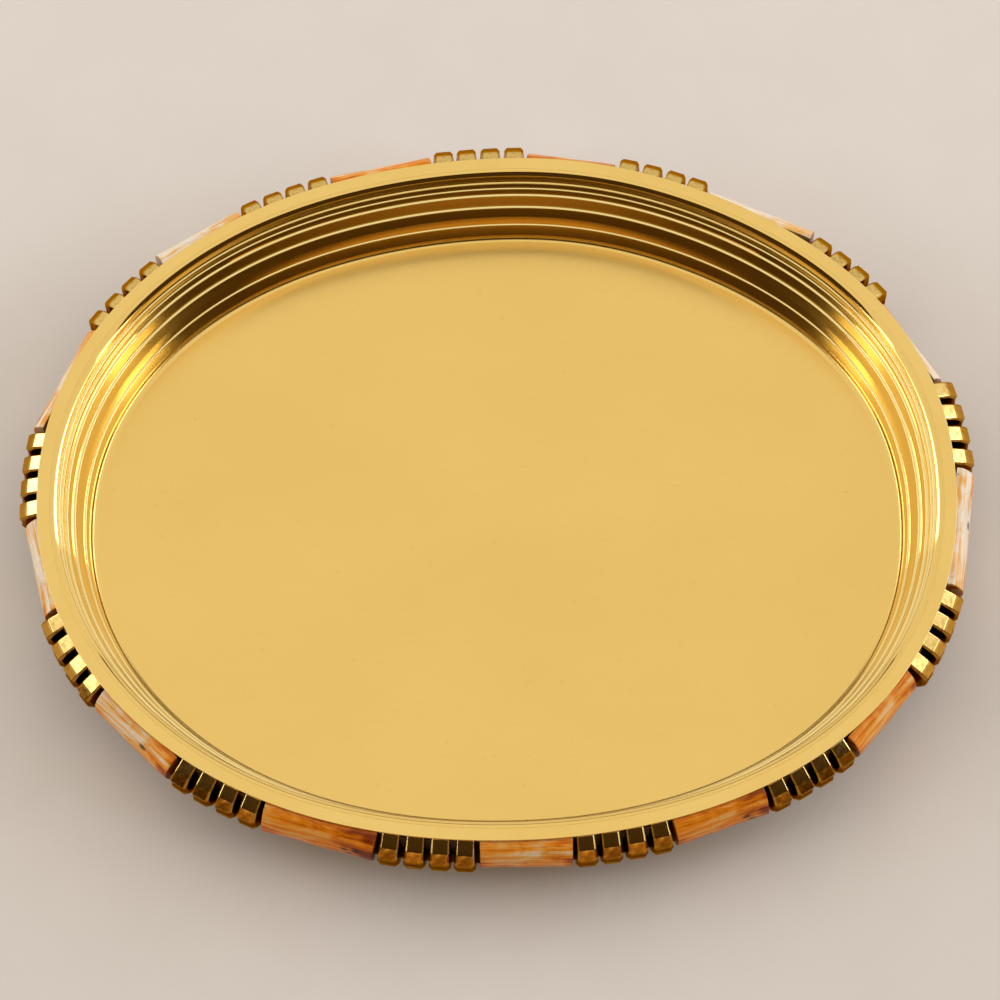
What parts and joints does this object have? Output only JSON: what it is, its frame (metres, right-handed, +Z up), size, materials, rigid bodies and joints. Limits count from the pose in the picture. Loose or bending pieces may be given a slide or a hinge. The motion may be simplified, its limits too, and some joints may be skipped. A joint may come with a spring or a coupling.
{
  "type": "oval brass serving tray",
  "caption": "Oval polished brass tray with stepped inner walls, a flat rim and a side belt of faceted brass ribs and bone pieces.",
  "frame": {"origin": "centre of the oval pan on the surface it rests on", "axes": "+X along the tray's length, +Y across its width, +Z up"},
  "size_m": [0.4013, 0.3249, 0.041],
  "materials": {
    "pan_brass": "polished, with faint fine brushing along the length",
    "rim_brass": "flat polished band with a thin bright edge",
    "hoop_brass": "unpolished, darkened, hidden behind the belt",
    "rib_brass": "polished faces with bright chamfers and dark tarnish between the ribs",
    "bone": "polished stained bone, amber to cream, with lengthwise streaks and small dark pits"
  },
  "bodies": {
    "root": {"belt_hoop": "hoop_brass", "bone_piece_01": "bone", "bone_piece_02": "bone", "bone_piece_03": "bone", "bone_piece_04": "bone", "bone_piece_05": "bone", "bone_piece_06": "bone", "bone_piece_07": "bone", "bone_piece_08": "bone", "bone_piece_09": "bone", "bone_piece_10": "bone", "bone_piece_11": "bone", "bone_piece_12": "bone", "bone_piece_13": "bone", "rib_comb_01": "rib_brass", "rib_comb_02": "rib_brass", "rib_comb_03": "rib_brass", "rib_comb_04": "rib_brass", "rib_comb_05": "rib_brass", "rib_comb_06": "rib_brass", "rib_comb_07": "rib_brass", "rib_comb_08": "rib_brass", "rib_comb_09": "rib_brass", "rib_comb_10": "rib_brass", "rib_comb_11": "rib_brass", "rib_comb_12": "rib_brass", "rib_comb_13": "rib_brass", "rim_ring": "rim_brass", "tray_pan": "pan_brass"}
  },
  "joints": []
}
